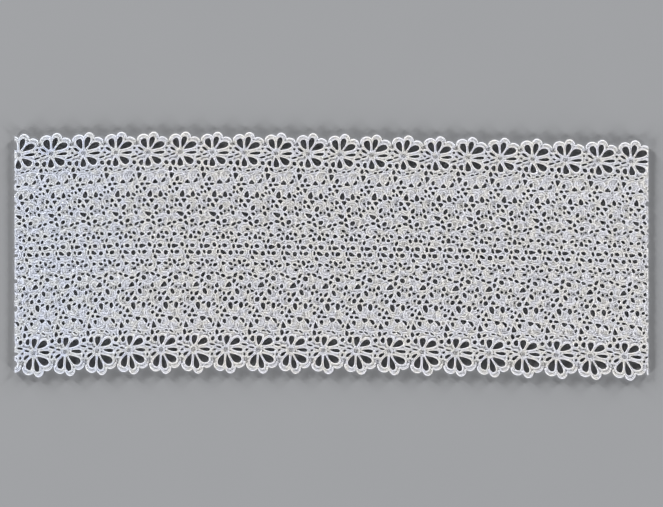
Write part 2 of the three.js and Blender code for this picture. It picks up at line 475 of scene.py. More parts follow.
# The smallest gaps and the dimples, each with a thin cord round it
PINHOLES = {
    Half.UPPER: (
        Eyelet(0.2, 14.7, 1.6, 0.7, 0),
        Eyelet(-7.9, 7.9, 1.4, 1.0, 90),
        Eyelet(-3.3, 17.8, 2.1, 0.6, -40),
        Eyelet(-6.9, 19.0, 1.5, 0.5, -40),
        Eyelet(4.0, 24.8, 1.3, 0.8, 30),
        Eyelet(10.0, 29.4, 2.8, 0.9, -10),
        Eyelet(4.5, 29.3, 1.0, 0.8, 60),
        Eyelet(1.1, 32.8, 1.4, 0.9, -60),
        Eyelet(-8.9, 34.1, 1.2, 1.0, 0),
        Eyelet(8.3, 37.5, 1.4, 0.9, -30),
        Eyelet(-9.5, 37.8, 1.5, 0.8, -25),
        Eyelet(5.2, 41.3, 1.2, 0.9, -50),
        Eyelet(-10.6, 47.3, 1.7, 1.1, 40),
        Eyelet(-5.2, 46.6, 1.6, 0.8, -25),
        Eyelet(-5.5, 49.0, 1.8, 1.2, 30),
        Eyelet(9.4, 51.6, 1.1, 0.9, -60),
        Eyelet(-5.8, 54.0, 2.0, 1.3, -20),
        Eyelet(9.0, 56.1, 1.8, 1.3, -70),
        Eyelet(-10.9, 55.8, 1.8, 1.3, 55),
        Eyelet(-3.7, 57.7, 1.6, 0.9, -70),
        Eyelet(-6.2, 61.6, 1.8, 0.9, 48),
        Eyelet(12.2, 62.2, 1.1, 0.9, 0),
        Eyelet(-5.3, 67.3, 2.0, 1.2, -60),
        Eyelet(8.5, 66.5, 1.6, 1.1, 100),
        Eyelet(-11.4, 65.8, 1.9, 1.2, 5),
        Eyelet(2.6, 68.6, 2.5, 1.3, 18),
        Eyelet(5.1, 71.3, 1.7, 1.4, 0),
        Eyelet(-12.4, 71.2, 1.7, 1.3, 0),
        Eyelet(-8.4, 76.8, 1.5, 1.1, 10),
        Eyelet(-0.6, 77.2, 2.0, 0.7, -8),
    ),
    Half.LOWER: (
        Eyelet(0.3, 14.4, 1.6, 0.7, 0),
        Eyelet(-7.7, 8.6, 1.4, 1.0, 90),
        Eyelet(-3.4, 18.3, 1.8, 0.5, -40),
        Eyelet(-7.0, 19.0, 1.5, 0.5, -40),
        Eyelet(9.4, 29.7, 2.5, 0.6, -8),
        Eyelet(4.2, 29.8, 1.2, 0.8, 75),
        Eyelet(0.6, 33.1, 1.6, 0.9, -60),
        Eyelet(-9.0, 34.5, 1.2, 0.9, 0),
        Eyelet(8.3, 38.4, 1.6, 0.8, 65),
        Eyelet(-10.2, 40.0, 1.2, 0.9, 0),
        Eyelet(4.9, 41.6, 1.4, 1.0, -60),
        Eyelet(-10.7, 47.9, 1.8, 1.1, 45),
        Eyelet(-5.2, 46.8, 1.6, 0.8, -25),
        Eyelet(-5.6, 49.2, 1.9, 1.2, 40),
        Eyelet(9.3, 52.1, 1.3, 0.9, -75),
        Eyelet(-6.0, 54.1, 2.0, 1.2, -12),
        Eyelet(8.8, 56.3, 1.7, 1.4, -80),
        Eyelet(-11.0, 56.3, 1.7, 1.2, 70),
        Eyelet(-3.8, 57.8, 1.5, 0.9, -70),
        Eyelet(-6.3, 62.3, 1.4, 0.9, 10),
        Eyelet(12.0, 62.3, 1.1, 0.9, 60),
        Eyelet(-5.6, 67.9, 1.7, 1.1, 70),
        Eyelet(8.4, 66.9, 1.7, 1.0, 130),
        Eyelet(-11.6, 65.9, 2.0, 1.2, 0),
        Eyelet(2.0, 68.8, 2.5, 1.4, 12),
        Eyelet(4.5, 71.4, 1.8, 1.5, 0),
        Eyelet(-12.8, 71.2, 1.8, 1.2, 20),
        Eyelet(-9.1, 76.8, 1.3, 0.9, 60),
        Eyelet(-1.1, 77.3, 2.0, 0.7, -8),
    ),
}
# The hearts of the scrolled leaves: along, inward
HEARTS = np.array((
    (-0.2, 33.2), (10.0, 31.3), (4.6, 41.6), (-9.0, 39.3), (-4.6, 48.6), (8.8, 52.0),
    (-2.4, 58.2), (11.8, 62.6), (0.4, 68.7), (-9.8, 71.6), (-0.6, 79.2), (9.6, 80.5),
))
# The stem that runs down through the leaves: along, inward
STEM = np.array((
    (-8.0, 23.4), (-8.9, 26.0), (-8.8, 28.5), (-8.5, 31.0), (-7.6, 33.2), (-6.6, 36.0), (-5.1, 39.3),
    (-3.5, 42.3), (-0.1, 47.6), (2.6, 52.0), (4.0, 56.5), (5.7, 60.0), (6.4, 63.5), (7.0, 66.5), (6.7, 71.0),
))
# Columns of the lobes: notch, next notch, along, inward, half width, half height
LOBES = (
    Lobe(-8.35, 0.05, -3.3, 6.4, 5.2, 5.2),
    Lobe(0.05, 7.83, 3.8, 4.2, 4.1, 4.5),
    Lobe(7.83, 14.35, 9.6, 8.6, 5.5, 5.5),
)


def every_eyelet(half: Half) -> tuple[Eyelet, ...]:
    """All gaps and dimples of one repeat of a half."""
    return *FLOWER_EYELETS[half], *FIELD_EYELETS[half], *PINHOLES[half]


@dataclass
class ScallopEdge:
    """The scalloped outline of both long edges."""

    lay: StripLay
    stops: int = 30
    notch_inward: float = 9.0

    def inward_at(self, along: Array, inset: float) -> Array:
        """The edge of a scallop: the outermost lobe at each place.

        Args:
            along: Places along the strip.
            inset: How far inside the edge the line runs.

        Returns:
            Places inward from the line of tips, no further than the notches.
        """
        reach = [
            lobe.inward_at(along - shift, inset)
            for lobe in LOBES
            for shift in self.lay.neighbours
        ]
        return np.minimum(np.min(reach, axis=0), self.notch_inward)

    def line(self, half: Half, inset: float) -> Array:
        """One long edge of the strip.

        Args:
            half: Upper or lower half.
            inset: How far inside the edge the line runs.

        Returns:
            Points in metres, from left to right.
        """
        along = LOBES[0].notch + self.lay.pitch * np.arange(self.stops) / self.stops
        scallop = np.stack([along, self.inward_at(along, inset)], axis=-1)
        return self.lay.in_every_repeat(half, scallop).reshape(-1, 2)

    def outline(self, inset: float) -> Array:
        """The strip's outline between its cut ends.

        Args:
            inset: How far inside the scallops' edge the outline runs.

        Returns:
            Points in metres, anticlockwise.
        """
        end = self.lay.cut
        edges = []
        for half in (Half.LOWER, Half.UPPER):
            line = self.line(half, inset)
            inner = line[np.abs(line[:, 0]) < end]
            ends = np.interp([-end, end], line[:, 0], line[:, 1])
            edges.append(np.vstack([[-end, ends[0]], inner, [end, ends[1]]]))
        return np.vstack([edges[0], edges[1][::-1]])


@dataclass
class GapChart:
    """The outline of every gap of the chart, with those of the repeats on both sides.

    Ease is how far the outlines run outside the charted ones. Gaps whose middles are within reach of each
    other may share a bar.
    """

    lay: StripLay
    ease: float
    step: float = 0.25
    least: int = 20
    reach: float = 9.0
    gaps: dict[Half, list[tuple[Array, Array]]] = field(default_factory=dict)

    def __post_init__(self) -> None:
        """Draws the outlines."""
        for half in Half:
            self.gaps[half] = []
            for eyelet in every_eyelet(half):
                ring = eyelet.ring(self.ease, self.step, self.least)
                for shift in self.lay.neighbours:
                    self.gaps[half].append((np.array((eyelet.along + shift, eyelet.inward)), ring))

    def bars(self, half: Half, eyelet: Eyelet, outline: Array) -> Array:
        """How wide the bars are between a gap and those beside it.

        Args:
            half: The half that the gap belongs to.
            eyelet: The gap.
            outline: Points round it, about its middle.

        Returns:
            The distance from each point to the nearest other gap.
        """
        own = np.array((eyelet.along, eyelet.inward))
        near = [
            ring + middle - own
            for middle, ring in self.gaps[half]
            if 0.0 < np.linalg.norm(middle - own) < self.reach
        ]
        return np.linalg.norm(outline[:, None] - np.vstack(near), axis=2).min(axis=1)


@dataclass
class EyeletRows:
    """Every eyelet of one group, laid in all repeats, each a little out of place as in knitted lace.

    Stray is how far one may lie from its place, and stretch and closing are shares of its size: how much it
    may vary, and how much it closes from the strip's middle to its ends. Thinnest is the thinnest cord round
    one. An eyelet narrower than pierced_from is a dimple, with no gap in the ground.
    """

    lay: StripLay
    chart: GapChart
    rows: dict[Half, tuple[Eyelet, ...]]
    rng: np.random.Generator
    stray: float = 0.09
    stretch: float = 0.05
    closing: float = 0.0
    thinnest: float = 0.5
    pierced_from: float = 0.0
    nudges: dict[tuple[Half, int], Array] = field(default_factory=dict)

    def __post_init__(self) -> None:
        """Draws how far each eyelet strays along and inward, and how much larger or smaller it is."""
        for half in Half:
            for index in range(len(self.rows[half])):
                self.nudges[half, index] = self.rng.uniform(-1.0, 1.0, (self.lay.repeats, 3))

    def rings(self, half: Half, index: int, grow: float, step: float, least: int) -> Array:
        """The rings of one row of the chart, in every repeat.

        Args:
            half: Upper or lower half.
            index: The row's place in the chart.
            grow: How far outside the eyelet's edge the rings run, in millimetres.
            step: Wanted distance between points.
            least: Fewest points.

        Returns:
            Points in metres: repeats, points, x and y.
        """
        return self._laid(half, index, self.rows[half][index].ring(grow + self.chart.ease, step, least))

    def cords(self, half: Half, index: int, width: float, step: float, least: int) -> tuple[Array, Array]:
        """The cords round one row of the chart, in every repeat, no wider than the bars that they run on.

        Args:
            half: Upper or lower half.
            index: The row's place in the chart.
            width: Full width of the cord, in millimetres.
            step: Wanted distance between points.
            least: Fewest points.

        Returns:
            Middle lines in metres: repeats, points, x and y. Then the share of the full width at each point.
        """
        row = self.rows[half][index]
        outline, normal = row.outline(self.chart.ease)
        wide = np.clip(self.chart.bars(half, row, outline), self.thinnest, width)[:, None]
        ring = even_ring(np.hstack([outline + normal * wide / 2.0, wide]), step, least)
        return self._laid(half, index, ring), ring[:, 2] / width

    def _laid(self, half: Half, index: int, ring: Array) -> Array:
        """Lays a ring about one row's middle in every repeat.

        Args:
            half: Upper or lower half.
            index: The row's place in the chart.
            ring: Points about the row's middle.

        Returns:
            Points in metres: repeats, points, x and y.
        """
        row = self.rows[half][index]
        nudge = self.nudges[half, index]
        number = self.lay.numbers()
        from_middle = number / self.lay.middle_repeat - 1.0
        size = (1.0 + self.stretch * nudge[:, 2]) * (1.0 - self.closing * from_middle**2)
        along = row.along + self.stray * nudge[:, :1] + size[:, None] * ring[None, :, 0]
        inward = row.inward + self.stray * nudge[:, 1:2] + size[:, None] * ring[None, :, 1]
        return self.lay.place(half, number[:, None], along, inward)


@dataclass
class CordBatch:
    """Cords that share their number of points, as arrays that can be joined.

    Counts has a row for each face and lengths one for each cord. Corners, run, turn and cord have a row
    for each corner of a face: its point, how far along and round the cord it is, and the cord's number.
    """

    points: Array
    counts: Array
    corners: Array
    run: Array
    turn: Array
    cord: Array
    lengths: Array


@dataclass(frozen=True)
class CordSection:
    """The section of a cord, in millimetres: its width, its height and how high its middle lies.

    Corners are the angles of its corners round an oval, in degrees from one side over the top. A cord has a
    flat top unless others are given.
    """

    width: float
    height: float
    middle: float
    corners: tuple[float, ...] = (20.0, 55.0, 125.0, 160.0, 235.0, 305.0)

    @property
    def sides(self) -> int:
        """The number of sides."""
        return len(self.corners)

    @property
    def girth(self) -> float:
        """About how far it is round the section, in metres."""
        return math.pi * (self.width + self.height) / 2.0 * MM

    def sweep(
        self, paths: Array, closed: bool, taper: Array | float = 1.0, slim: Array | float = 1.0
    ) -> CordBatch:
        """Runs the section along cords that share their number of points.

        Args:
            paths: Middle lines in metres: cords, points, x and y.
            closed: Whether the cords are rings.
            taper: Share of the full section at each point.
            slim: Share of the full width at each point, on top of the taper.

        Returns:
            The swept cords.
        """
        stops = paths.shape[1]
        if closed:
            tangent = np.roll(paths, -1, axis=1) - np.roll(paths, 1, axis=1)
        else:
            tangent = np.gradient(paths, axis=1)
        tangent = tangent / np.linalg.norm(tangent, axis=2, keepdims=True)
        sideways = np.stack([-tangent[..., 1], tangent[..., 0]], axis=-1)
        angle = np.radians(self.corners)
        share = np.broadcast_to(taper, (stops,))[:, None]
        wide = share * np.broadcast_to(slim, (stops,))[:, None] * np.cos(angle) * self.width / 2.0 * MM
        high = (self.middle + share * np.sin(angle) * self.height / 2.0) * MM
        flat = paths[:, :, None, :] + sideways[:, :, None, :] * wide[None, :, :, None]
        high = np.broadcast_to(high, flat.shape[:3])
        return self._join_sections(np.concatenate([flat, high[..., None]], axis=-1), closed)

    def _join_sections(self, points: Array, closed: bool) -> CordBatch:
        """Joins the sections of swept cords with faces.

        Args:
            points: Swept points: cords, stops, sides, and x, y and z.
            closed: Whether the cords are rings.

        Returns:
            The cords, with the ends of open ones closed.
        """
        cords, stops, sides = points.shape[:3]
        spans = stops if closed else stops - 1
        middle = points.mean(axis=2)
        steps = np.linalg.norm(np.roll(middle, -1, axis=1) - middle, axis=2)[:, :spans]
        run = np.concatenate([np.zeros((cords, 1)), np.cumsum(steps, axis=1)], axis=1)
        grid = np.meshgrid(np.arange(cords), np.arange(spans), np.arange(sides), indexing="ij")
        cord, stop, side = (numbers.reshape(-1) for numbers in grid)
        corners, runs, turns = [], [], []
        for ahead, beside in ((0, 0), (0, 1), (1, 1), (1, 0)):
            section = cord * stops + (stop + ahead) % stops
            corners.append(section * sides + (side + beside) % sides)
            runs.append(run[cord, stop + ahead])
            turns.append((side + beside) / sides)
        batch = CordBatch(
            points=points.reshape(-1, 3),
            counts=np.full(cord.size, 4),
            corners=np.stack(corners, axis=-1).reshape(-1),
            run=np.stack(runs, axis=-1).reshape(-1),
            turn=np.stack(turns, axis=-1).reshape(-1),
            cord=np.repeat(cord, 4),
            lengths=run[:, -1],
        )
        if not closed:
            self._close_ends(batch, stops)
        return batch

    def _close_ends(self, batch: CordBatch, stops: int) -> None:
        """Adds a face on both ends of open cords.

        Args:
            batch: The cords, which are changed.
            stops: Number of sections of each cord.
        """
        cords = len(batch.lengths)
        ring = np.arange(self.sides)
        first = np.arange(cords)[:, None] * stops * self.sides
        number = np.repeat(np.arange(cords), self.sides)
        starts = (first + ring[::-1]).reshape(-1)
        ends = (first + (stops - 1) * self.sides + ring).reshape(-1)
        batch.counts = np.append(batch.counts, np.full(2 * cords, self.sides))
        batch.corners = np.concatenate([batch.corners, starts, ends])
        batch.cord = np.concatenate([batch.cord, number, number])
        batch.run = np.concatenate([batch.run, np.zeros(number.size), batch.lengths[number]])
        batch.turn = np.concatenate([batch.turn, np.tile(ring / self.sides, 2 * cords)])


@dataclass
class YarnMesh:
    """A joined mesh of many cords, with a map along their thread and a flat layout for baking.

    Girth is the cords' girth in metres. In the layout strip_gap is the room between two strips, as a share
    of the girth, and spare_room is how much wider the square is than the strips' area needs.
    """

    girth: float
    batches: list[CordBatch]
    strip_gap: float = 0.12
    spare_room: float = 1.12

    def build(self, name: str, cut: float, finish: bpy.types.Material) -> bpy.types.Object:
        """Makes the piece and cuts it straight at both ends of the strip.

        Args:
            name: Name of the piece.
            cut: Distance of both cuts from the strip's middle, in metres.
            finish: Finish of the cords.

        Returns:
            The new piece.
        """
        corners = self._numbered("corners", "points")
        mesh = mesh_from_arrays(name, self._joined("points"), self._joined("counts"), corners)
        run, turn = self._joined("run"), self._joined("turn")
        add_map(mesh, THREAD_MAP, np.stack([run / MM, turn], axis=-1))
        add_map(mesh, BAKE_MAP, self._flat_layout(run, turn))
        cut_ends(mesh, cut)
        mesh.shade_smooth()
        return piece_from_mesh(name, mesh, finish)

    def _joined(self, name: str) -> Array:
        """One array of all batches, end to end."""
        return np.concatenate([getattr(batch, name) for batch in self.batches])

    def _numbered(self, name: str, counted: str) -> Array:
        """One array of numbers of all batches, each counted on from the batch before.

        Args:
            name: Name of the array.
            counted: Name of the array whose rows the numbers count.

        Returns:
            The numbers, end to end.
        """
        sizes = [len(getattr(batch, counted)) for batch in self.batches]
        firsts = np.concatenate([[0], np.cumsum(sizes)[:-1]])
        return np.concatenate([getattr(batch, name) + first for batch, first in zip(self.batches, firsts)])

    def _flat_layout(self, run: Array, turn: Array) -> Array:
        """Lays every cord out as a strip of its own, row upon row in a square.

        Args:
            run: How far along its cord each corner is, in metres.
            turn: How far round its cord each corner is, from 0 to 1.

        Returns:
            Places in the square, from 0 to 1.
        """
        lengths = self._joined("lengths")
        gap = self.girth * self.strip_gap
        square = math.sqrt(float(lengths.sum()) * self.girth) * self.spare_room
        starts = np.zeros((len(lengths), 2))
        x = y = 0.0
        for number, length in enumerate(lengths):
            if x + length > square:
                x = 0.0
                y += self.girth + gap
            starts[number] = x, y
            x += length + gap
        flat = starts[self._numbered("cord", "lengths")] + np.stack([run, turn * self.girth], axis=-1)
        return flat / max(square, y + self.girth)


def mesh_from_arrays(name: str, points: Array, counts: Array, corners: Array) -> bpy.types.Mesh:
    """Makes a mesh.

    Args:
        name: Name of the mesh.
        points: Points in metres.
        counts: Number of corners of each face.
        corners: Point numbers of all corners, face by face.

    Returns:
        The new mesh.
    """
    mesh = bpy.data.meshes.new(name)
    mesh.vertices.add(len(points))
    mesh.vertices.foreach_set("co", points.astype(np.float32).reshape(-1))
    mesh.loops.add(len(corners))
    mesh.loops.foreach_set("vertex_index", corners.astype(np.int32))
    mesh.polygons.add(len(counts))
    mesh.polygons.foreach_set("loop_start", (np.cumsum(counts) - counts).astype(np.int32))
    mesh.update(calc_edges=True)
    return mesh


def add_map(mesh: bpy.types.Mesh, name: str, places: Array) -> None:
    """Gives a mesh a map.

    Args:
        mesh: The mesh.
        name: Name of the map.
        places: A place for each corner.
    """
    layer = mesh.uv_layers.new(name=name)
    layer.uv.foreach_set("vector", places.astype(np.float32).reshape(-1))


def cut_ends(mesh: bpy.types.Mesh, cut: float) -> None:
    """Cuts a mesh straight across at both ends of the strip and closes the cuts.

    Args:
        mesh: The mesh, which is changed.
        cut: Distance of both cuts from the strip's middle, in metres.
    """
    shape = bmesh.new()
    shape.from_mesh(mesh)
    for side in (-1.0, 1.0):
        everything = [*shape.verts, *shape.edges, *shape.faces]
        bmesh.ops.bisect_plane(
            shape, geom=everything, dist=CUT_SNAP, plane_co=(side * cut, 0.0, 0.0),
            plane_no=(side, 0.0, 0.0), clear_outer=True,
        )
    open_edges = [edge for edge in shape.edges if edge.is_boundary]
    bmesh.ops.holes_fill(shape, edges=open_edges, sides=0)
    shape.to_mesh(mesh)
    shape.free()


def piece_from_mesh(name: str, mesh: bpy.types.Mesh, finish: bpy.types.Material) -> bpy.types.Object:
    """Makes a dressed piece that moves with the part's one body.

    Args:
        name: Name of the piece.
        mesh: Its mesh.
        finish: Its finish.

    Returns:
        The new piece.
    """
    piece = bpy.data.objects.new(name, mesh)
    bpy.context.scene.collection.objects.link(piece)
    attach(piece, BODY)
    mesh.materials.append(finish)
    return piece


@dataclass
class LaceGround:
    """The flat knitted ground between the cords, pierced by the gaps of the chart.

    Sizes are in millimetres: its edges end under the cords, which cover them by the insets. The last four
    are places and shares of the square of the layout for baking.
    """

    lay: StripLay
    edge: ScallopEdge
    groups: list[EyeletRows]
    pinholes: EyeletRows
    underside: float = 0.25
    top: float = 0.95
    edge_inset: float = 0.45
    under_cord: float = 0.35
    under_thin_cord: float = 0.2
    step: float = 1.15
    least: int = 6
    weld: float = 1e-5
    spare_room: float = 1.02
    top_middle: float = 0.24
    under_middle: float = 0.70
    wall_patch: tuple[tuple[float, float], ...] = ((0.02, 0.96), (0.04, 0.96), (0.04, 0.98), (0.02, 0.98))

    def build(self, finish: bpy.types.Material) -> bpy.types.Object:
        """Makes the ground, which stands for the solid sheet.

        Args:
            finish: Finish of the ground.

        Returns:
            The new piece.
        """
        outlines = [self.edge.outline(self.edge_inset), *self._gaps()]
        places, triangles = self._triangles(outlines)
        points, counts, corners = self._thicken(places, triangles)
        mesh = mesh_from_arrays("lace_ground", points, counts, corners)
        add_map(mesh, BAKE_MAP, self._flat_layout(points, counts, corners))
        piece = piece_from_mesh("lace_ground", mesh, finish)
        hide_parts(CAD_NODE)
        return piece

    def _gaps(self) -> list[Array]:
        """The gaps of every group, in all repeats.

        Returns:
            The outline of each gap in metres, under the middle of its cord.
        """
        found = []
        grown = [(group, self.under_cord) for group in self.groups]
        for group, grow in [*grown, (self.pinholes, self.under_thin_cord)]:
            for half in Half:
                for index, row in enumerate(group.rows[half]):
                    if row.width >= group.pierced_from:
                        found.extend(group.rings(half, index, grow, self.step, self.least))
        return found

    def _triangles(self, outlines: list[Array]) -> tuple[Array, Array]:
        """Fills the first outline, apart from the others.

        Args:
            outlines: The strip's outline, then the gaps, in metres.

        Returns:
            Points in metres, and the triangles' point numbers.
        """
        faces: list[list[int]] = []
        first = 0
        for outline in outlines:
            after = np.roll(outline, -1, axis=0)
            anticlockwise = np.sum(outline[:, 0] * after[:, 1] - after[:, 0] * outline[:, 1]) > 0.0
            numbers = list(range(first, first + len(outline)))
            faces.append(numbers if anticlockwise else numbers[::-1])
            first += len(outline)
        flat = [Vector(place) for place in (np.vstack(outlines) / MM).tolist()]
        made = delaunay_2d_cdt(flat, [], faces, FILL_INSIDE, self.weld, True)
        kept = np.array([face for face, within in zip(made[2], made[5]) if list(within) == [0]])
        used, triangles = np.unique(kept, return_inverse=True)
        places = np.array([tuple(place) for place in made[0]]) * MM
        return places[used], triangles.reshape(-1, 3)

    def _thicken(self, places: Array, triangles: Array) -> tuple[Array, Array, Array]:
        """Gives the flat ground its thickness.

        Args:
            places: Points in metres.
            triangles: The triangles' point numbers, anticlockwise.

        Returns:
            Points, number of corners of each face, and corners: top, underside and then the gaps' walls.
        """
        count = len(places)
        low = np.full((count, 1), self.underside * MM)
        high = np.full((count, 1), self.top * MM)
        points = np.vstack([np.hstack([places, high]), np.hstack([places, low])])
        ahead = np.concatenate([triangles[:, (i, (i + 1) % 3)] for i in range(3)])
        codes = ahead[:, 0] * count + ahead[:, 1]
        rim = ahead[~np.isin(codes, ahead[:, 1] * count + ahead[:, 0])]
        walls = np.stack([rim[:, 1], rim[:, 0], rim[:, 0] + count, rim[:, 1] + count], axis=-1)
        under = triangles[:, ::-1] + count
        counts = np.concatenate([np.full(2 * len(triangles), 3), np.full(len(walls), 4)])
        return points, counts, np.concatenate([triangles.ravel(), under.ravel(), walls.ravel()])

    def _flat_layout(self, points: Array, counts: Array, corners: Array) -> Array:
        """Lays the top and the underside side by side, with all walls on one small patch.

        Args:
            points: Points in metres.
            counts: Number of corners of each face.
            corners: Point numbers of all corners.

        Returns:
            Places in a square, from 0 to 1.
        """
        places = points[corners, :2] / (self.lay.length * MM * self.spare_room)
        triangles = np.sum(counts == 3)
        sheets = triangles * 3
        places[:, 0] += 0.5
        places[: sheets // 2, 1] += self.top_middle
        places[sheets // 2 : sheets, 1] += self.under_middle
        places[sheets:] = np.tile(self.wall_patch, (len(counts) - triangles, 1))
        return places


@dataclass
class CordPiece(ABC):
    """A piece made of cords that share one section. Each kind says where its cords run."""

    name: str
    lay: StripLay
    section: CordSection

    @abstractmethod
    def cords(self) -> list[CordBatch]:
        """The piece's cords, batch by batch."""

    def build(self, finish: bpy.types.Material) -> bpy.types.Object:
        """Makes all the cords as one piece.

        Args:
            finish: Finish of the cords.

        Returns:
            The new piece.
        """
        yarn = YarnMesh(self.section.girth, self.cords())
        return yarn.build(self.name, self.lay.cut, finish)

    def in_every_repeat(
        self, half: Half, line: Array, closed: bool, taper: Array | float = 1.0
    ) -> CordBatch:
        """Runs a cord along one charted line, in every repeat.

        Args:
            half: Upper or lower half.
            line: Points of the line, with along and inward on the last axis.
            closed: Whether the cord is a ring.
            taper: Share of the full section at each point.

        Returns:
            The cords that show between the cut ends.
        """
        paths = self.lay.in_every_repeat(half, line)
        return self.section.sweep(self.lay.showing(paths), closed, taper)


@dataclass
class EyeletCords(CordPiece):
    """The cords that run round the eyelets of one group, or of one half of it."""

    rows: EyeletRows
    halves: tuple[Half, ...]
    step: float = 0.8
    least: int = 8

    def cords(self) -> list[CordBatch]:
        """Runs a cord round every eyelet.

        Returns:
            The cords, row by row of the chart.
        """
        found = []
        for half in self.halves:
            for index in range(len(self.rows.rows[half])):
                rings, slim = self.rows.cords(half, index, self.section.width, self.step, self.least)
                found.append(self.section.sweep(self.lay.showing(rings), closed=True, slim=slim))
        return found


@dataclass
class EdgeCords(CordPiece):
    """The cord along the scallops' edge, lobe by lobe.

    Set_in is how far inside the edge it lies, and overlap is how far it runs past a notch, in radians.
    """

    set_in: float = 0.3
    stops: int = 15
    overlap: float = 0.25

    def cords(self) -> list[CordBatch]:
        """Runs a cord along every lobe.

        Returns:
            The cords of both edges, lobe by lobe.
        """
        inset = self.section.width / 2.0 + self.set_in
        found = []
        for half in Half:
            for lobe in LOBES:
                angles = self._sweep(lobe)
                along = lobe.along + (lobe.half_width - inset) * np.cos(angles)
                inward = lobe.inward + (lobe.half_height - inset) * np.sin(angles)
                line = np.stack([along, inward], axis=-1)
                found.append(self.in_every_repeat(half, line, closed=False))
        return found

    def _sweep(self, lobe: Lobe) -> Array:
        """Runs round a lobe's ellipse, from its first notch to its next one and a little past both.

        Args:
            lobe: The lobe.

        Returns:
            Angles in radians.
        """
        left = math.acos(np.clip((lobe.notch - lobe.along) / lobe.half_width, -1.0, 1.0))
        right = math.acos(np.clip((lobe.next_notch - lobe.along) / lobe.half_width, -1.0, 1.0))
        return -np.linspace(left + self.overlap, right - self.overlap, self.stops)


@dataclass
class FlowerRings(CordPiece):
    """The ring round each flower's middle."""

    eye: Eyelet = Eyelet(0.0, 14.5, 3.2, 2.6, 0)
    step: float = 0.9
    least: int = 12

    def cords(self) -> list[CordBatch]:
        """Runs a ring round every flower's middle.

        Returns:
            The rings of both edges.
        """
        ring = self.eye.ring(self.section.width / 2.0, self.step, self.least)
        ring = ring + (self.eye.along, self.eye.inward)
        return [self.in_every_repeat(half, ring, closed=True) for half in Half]


@dataclass
class LeafRibs(CordPiece):
    """The ribs that run in rings round the heart of each scrolled leaf, as far as the next leaf.

    Starts and ends are where the leaves lie, inward from the line of tips. Clear is how far ribs keep from a
    gap, end_share is how thick their ends are, and slack takes up rounding.
    """

    radii: tuple[float, ...] = (1.1, 2.65, 4.2, 5.75)
    starts: float = 24.5
    ends: float = 82.5
    clear: float = 0.7
    gap_step: float = 0.4
    gap_least: int = 16
    step: float = 1.0
    least: int = 6
    fewest: int = 3
    slack: float = 1e-6
    end_share: float = 0.5

    def cords(self) -> list[CordBatch]:
        """Runs the ribs of all leaves.

        Returns:
            The ribs, leaf by leaf, with thin ends.
        """
        found = []
        for half in Half:
            for run in self._ribs(half):
                taper = np.ones(len(run))
                taper[[0, -1]] = self.end_share
                found.append(self.in_every_repeat(half, run, closed=False, taper=taper))
        return found

    def _ribs(self, half: Half) -> list[Array]:
        """The ribs of one repeat.

        Args:
            half: Upper or lower half.

        Returns:
            Each rib's points on the chart.
        """
        gaps = self._gaps(half)
        runs: list[Array] = []
        for heart in HEARTS:
            for radius in self.radii:
                runs.extend(self._runs(heart, radius, gaps))
        return runs

    def _gaps(self, half: Half) -> list[Array]:
        """The outlines that ribs keep out of: every gap of a repeat and of those beside it.

        Args:
            half: Upper or lower half.

        Returns:
            Each outline's points on the chart.
        """
        return [
            eyelet.ring(self.clear, self.gap_step, self.gap_least) + (eyelet.along + shift, eyelet.inward)
            for eyelet in every_eyelet(half)
            for shift in self.lay.neighbours
        ]

    def _runs(self, heart: Array, radius: float, gaps: list[Array]) -> list[Array]:
        """Splits one ring of a leaf into the runs that stay on it and clear of every eyelet.

        Args:
            heart: The leaf's heart on the chart.
            radius: The ring's radius.
            gaps: Outlines to keep out of.

        Returns:
            Runs of neighbouring points, each long enough to show as a rib.
        """
        count = max(self.least, round(2.0 * np.pi * radius / self.step))
        angles = 2.0 * np.pi * np.arange(count) / count
        ring = heart + radius * np.stack([np.cos(angles), np.sin(angles)], axis=-1)
        free = self._free(ring, radius, gaps)
        if free.all():
            return [np.vstack([ring, ring[:1]])]
        first = int(np.argmin(free))
        ring, free = np.roll(ring, -first, axis=0), np.roll(free, -first)
        runs = np.split(ring, np.flatnonzero(np.diff(free)) + 1)
        return [run for run in runs[1::2] if len(run) >= self.fewest]

    def _free(self, ring: Array, radius: float, gaps: list[Array]) -> Array:
        """Tells which points of a ring lie on its own leaf and clear of every gap.

        Args:
            ring: Points of the ring.
            radius: The ring's radius.
            gaps: Outlines to keep out of.

        Returns:
            True for each point where a rib may run.
        """
        free = (ring[:, 1] > self.starts) & (ring[:, 1] < self.ends)
        for shift in self.lay.neighbours:
            for other in HEARTS + (shift, 0.0):
                free &= np.linalg.norm(ring - other, axis=1) > radius - self.slack
        for gap in gaps:
            free &= ~inside(ring, gap)
        return free


def inside(points: Array, ring: Array) -> Array:
    """Tells which points lie inside a closed line.

    Args:
        points: Points to test.
        ring: The closed line.

    Returns:
        True for each point inside.
    """
    x, y = points[:, :1], points[:, 1:]
    after = np.roll(ring, -1, axis=0)
    spans = (ring[:, 1] > y) != (after[:, 1] > y)
    # A level stretch spans no point, so that its slope is never used
    rise = np.where(after[:, 1] == ring[:, 1], 1.0, after[:, 1] - ring[:, 1])
    slope = (after[:, 0] - ring[:, 0]) / rise
    crosses = x < ring[:, 0] + slope * (y - ring[:, 1])
    return np.sum(spans & crosses, axis=1) % 2 == 1


@dataclass
class StemCords(CordPiece):
    """The stems that run down through the leaves, from the flowers to the middle."""

    stops: int = 34

    def cords(self) -> list[CordBatch]:
        """Runs a stem down each repeat of both halves."""
        line = smooth_line(STEM, self.stops)
        return [self.in_every_repeat(half, line, closed=False) for half in Half]


